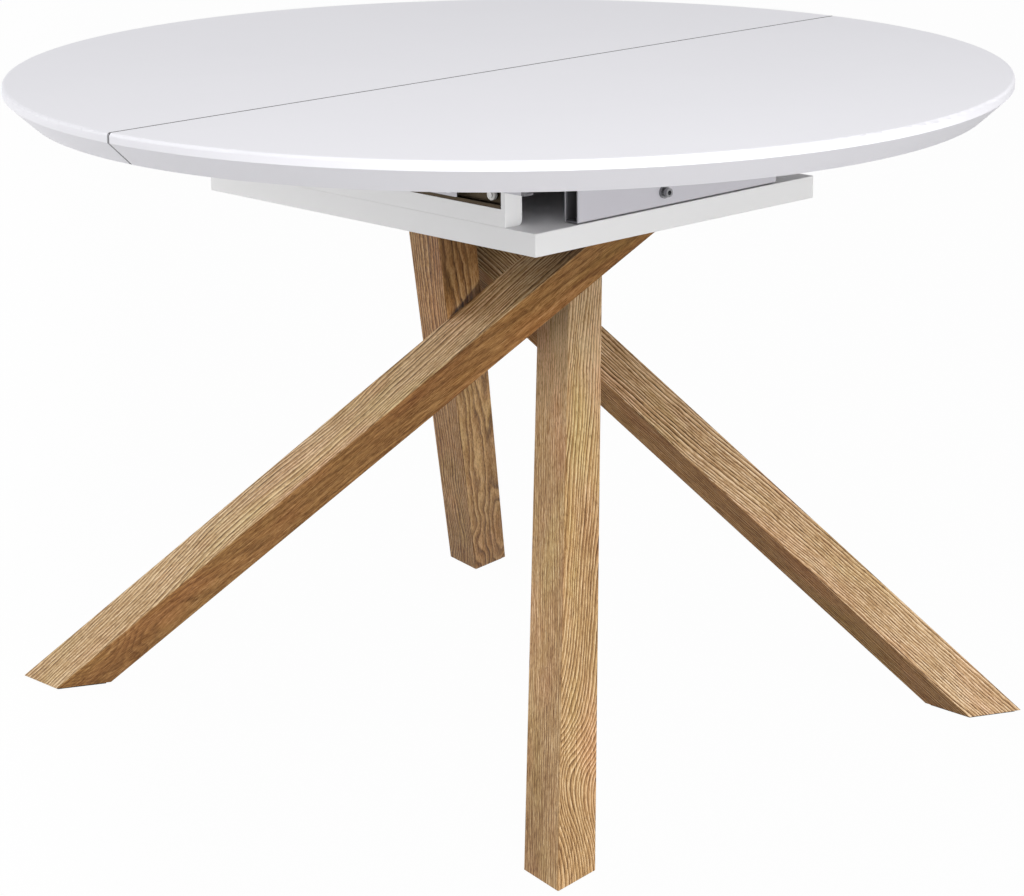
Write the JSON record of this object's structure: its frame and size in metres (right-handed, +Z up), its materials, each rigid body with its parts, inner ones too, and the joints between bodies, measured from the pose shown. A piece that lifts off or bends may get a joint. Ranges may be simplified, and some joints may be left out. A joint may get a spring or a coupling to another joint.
{
  "type": "butterfly leaf table",
  "caption": "Round extending dining table on crossed square legs; the two halves of the top slide apart together on rollers over a stored folding leaf.",
  "frame": {"origin": "centre of the table on the floor", "axes": "+Z up, +X the way the front half slides out, +Y along the seam between the halves"},
  "size_m": [1.1399, 1.14, 0.754],
  "materials": {
    "white_lacquer": "white satin lacquer on board",
    "oak": "oiled oak, open straight grain",
    "white_sheet": "white powder coat on folded sheet",
    "zinc_steel": "bright zinc plate",
    "bronze_steel": "yellow passivated pressed steel",
    "nylon": "natural nylon",
    "beech": "plain beech dowel",
    "foot_felt": "dark felted rubber glide"
  },
  "bodies": {
    "base": {"back_leg": "oak", "back_leg_pad": "foot_felt", "base_plate": "white_lacquer", "front_leg": "oak", "front_leg_pad": "foot_felt", "gear_housing": "nylon", "housing_screws": "zinc_steel", "leaf_dowels": "beech", "leaf_hinge_lower_plates": "zinc_steel", "leaf_hinge_pins": "zinc_steel", "leaf_hinge_upper_plates": "zinc_steel", "leaf_lower_panel": "white_lacquer", "leaf_upper_panel": "white_lacquer", "left_inner_channel": "bronze_steel", "left_keeper": "zinc_steel", "left_leg": "oak", "left_leg_pad": "foot_felt", "left_outer_channel": "bronze_steel", "left_rail": "white_lacquer", "leg_bolts": "zinc_steel", "pinion_pin": "zinc_steel", "rail_screws": "zinc_steel", "right_inner_channel": "bronze_steel", "right_keeper": "zinc_steel", "right_leg": "oak", "right_leg_pad": "foot_felt", "right_outer_channel": "bronze_steel", "right_rail": "white_lacquer", "roller_axles": "zinc_steel"},
    "front_half": {"front_top": "white_lacquer", "front_left_runner": "white_sheet", "front_right_runner": "white_sheet", "front_fascia": "white_sheet", "front_screws": "zinc_steel", "front_rack": "zinc_steel", "front_rack_bolt": "zinc_steel", "front_rack_washer": "zinc_steel", "seam_dowels": "beech"},
    "back_half": {"back_top": "white_lacquer", "back_left_runner": "white_sheet", "back_right_runner": "white_sheet", "back_fascia": "white_sheet", "back_screws": "zinc_steel", "back_rack": "zinc_steel", "back_rack_bolt": "zinc_steel", "back_rack_washer": "zinc_steel"},
    "pinion": {"pinion": "nylon"},
    "left_outer_front_roller": {"left_outer_front_roller": "nylon"},
    "left_outer_middle_roller": {"left_outer_middle_roller": "nylon"},
    "left_outer_rear_roller": {"left_outer_rear_roller": "nylon"},
    "left_inner_front_roller": {"left_inner_front_roller": "nylon"},
    "left_inner_middle_roller": {"left_inner_middle_roller": "nylon"},
    "left_inner_rear_roller": {"left_inner_rear_roller": "nylon"},
    "right_outer_front_roller": {"right_outer_front_roller": "nylon"},
    "right_outer_middle_roller": {"right_outer_middle_roller": "nylon"},
    "right_outer_rear_roller": {"right_outer_rear_roller": "nylon"},
    "right_inner_front_roller": {"right_inner_front_roller": "nylon"},
    "right_inner_middle_roller": {"right_inner_middle_roller": "nylon"},
    "right_inner_rear_roller": {"right_inner_rear_roller": "nylon"}
  },
  "joints": [
    {"name": "front_slide", "type": "slide", "parent": "base", "child": "front_half", "axis": [1, 0, 0], "range_m": [0, 0.2]},
    {"name": "back_slide", "type": "slide", "parent": "base", "child": "back_half", "axis": [-1, 0, 0], "range_m": [0, 0.2]},
    {"name": "pinion_spin", "type": "hinge", "parent": "base", "child": "pinion", "pos_m": [0, 0, 0.6513], "axis": [0, 0, 1], "range_deg": [0, 573]},
    {"name": "left_outer_front_roller_spin", "type": "hinge", "parent": "base", "child": "left_outer_front_roller", "pos_m": [0.198, -0.2174, 0.6663], "axis": [0, 1, 0], "range_deg": [0, 1910]},
    {"name": "left_outer_middle_roller_spin", "type": "hinge", "parent": "base", "child": "left_outer_middle_roller", "pos_m": [0.07, -0.2174, 0.6663], "axis": [0, 1, 0], "range_deg": [0, 1910]},
    {"name": "left_outer_rear_roller_spin", "type": "hinge", "parent": "base", "child": "left_outer_rear_roller", "pos_m": [-0.058, -0.2174, 0.6663], "axis": [0, 1, 0], "range_deg": [0, 1910]},
    {"name": "left_inner_front_roller_spin", "type": "hinge", "parent": "base", "child": "left_inner_front_roller", "pos_m": [-0.198, -0.2016, 0.6663], "axis": [0, 1, 0], "range_deg": [-1910, 0]},
    {"name": "left_inner_middle_roller_spin", "type": "hinge", "parent": "base", "child": "left_inner_middle_roller", "pos_m": [-0.07, -0.2016, 0.6663], "axis": [0, 1, 0], "range_deg": [-1910, 0]},
    {"name": "left_inner_rear_roller_spin", "type": "hinge", "parent": "base", "child": "left_inner_rear_roller", "pos_m": [0.058, -0.2016, 0.6663], "axis": [0, 1, 0], "range_deg": [-1910, 0]},
    {"name": "right_outer_front_roller_spin", "type": "hinge", "parent": "base", "child": "right_outer_front_roller", "pos_m": [0.198, 0.2174, 0.6663], "axis": [0, 1, 0], "range_deg": [0, 1910]},
    {"name": "right_outer_middle_roller_spin", "type": "hinge", "parent": "base", "child": "right_outer_middle_roller", "pos_m": [0.07, 0.2174, 0.6663], "axis": [0, 1, 0], "range_deg": [0, 1910]},
    {"name": "right_outer_rear_roller_spin", "type": "hinge", "parent": "base", "child": "right_outer_rear_roller", "pos_m": [-0.058, 0.2174, 0.6663], "axis": [0, 1, 0], "range_deg": [0, 1910]},
    {"name": "right_inner_front_roller_spin", "type": "hinge", "parent": "base", "child": "right_inner_front_roller", "pos_m": [-0.198, 0.2016, 0.6663], "axis": [0, 1, 0], "range_deg": [-1910, 0]},
    {"name": "right_inner_middle_roller_spin", "type": "hinge", "parent": "base", "child": "right_inner_middle_roller", "pos_m": [-0.07, 0.2016, 0.6663], "axis": [0, 1, 0], "range_deg": [-1910, 0]},
    {"name": "right_inner_rear_roller_spin", "type": "hinge", "parent": "base", "child": "right_inner_rear_roller", "pos_m": [0.058, 0.2016, 0.6663], "axis": [0, 1, 0], "range_deg": [-1910, 0]}
  ],
  "couplings": [
    {"joint": "back_slide", "follows": "front_slide", "ratio": 1},
    {"joint": "pinion_spin", "follows": "front_slide", "rad_per_m": 50},
    {"joint": "left_outer_front_roller_spin", "follows": "front_slide", "rad_per_m": 166.67},
    {"joint": "left_outer_middle_roller_spin", "follows": "front_slide", "rad_per_m": 166.67},
    {"joint": "left_outer_rear_roller_spin", "follows": "front_slide", "rad_per_m": 166.67},
    {"joint": "left_inner_front_roller_spin", "follows": "front_slide", "rad_per_m": -166.67},
    {"joint": "left_inner_middle_roller_spin", "follows": "front_slide", "rad_per_m": -166.67},
    {"joint": "left_inner_rear_roller_spin", "follows": "front_slide", "rad_per_m": -166.67},
    {"joint": "right_outer_front_roller_spin", "follows": "front_slide", "rad_per_m": 166.67},
    {"joint": "right_outer_middle_roller_spin", "follows": "front_slide", "rad_per_m": 166.67},
    {"joint": "right_outer_rear_roller_spin", "follows": "front_slide", "rad_per_m": 166.67},
    {"joint": "right_inner_front_roller_spin", "follows": "front_slide", "rad_per_m": -166.67},
    {"joint": "right_inner_middle_roller_spin", "follows": "front_slide", "rad_per_m": -166.67},
    {"joint": "right_inner_rear_roller_spin", "follows": "front_slide", "rad_per_m": -166.67}
  ]
}
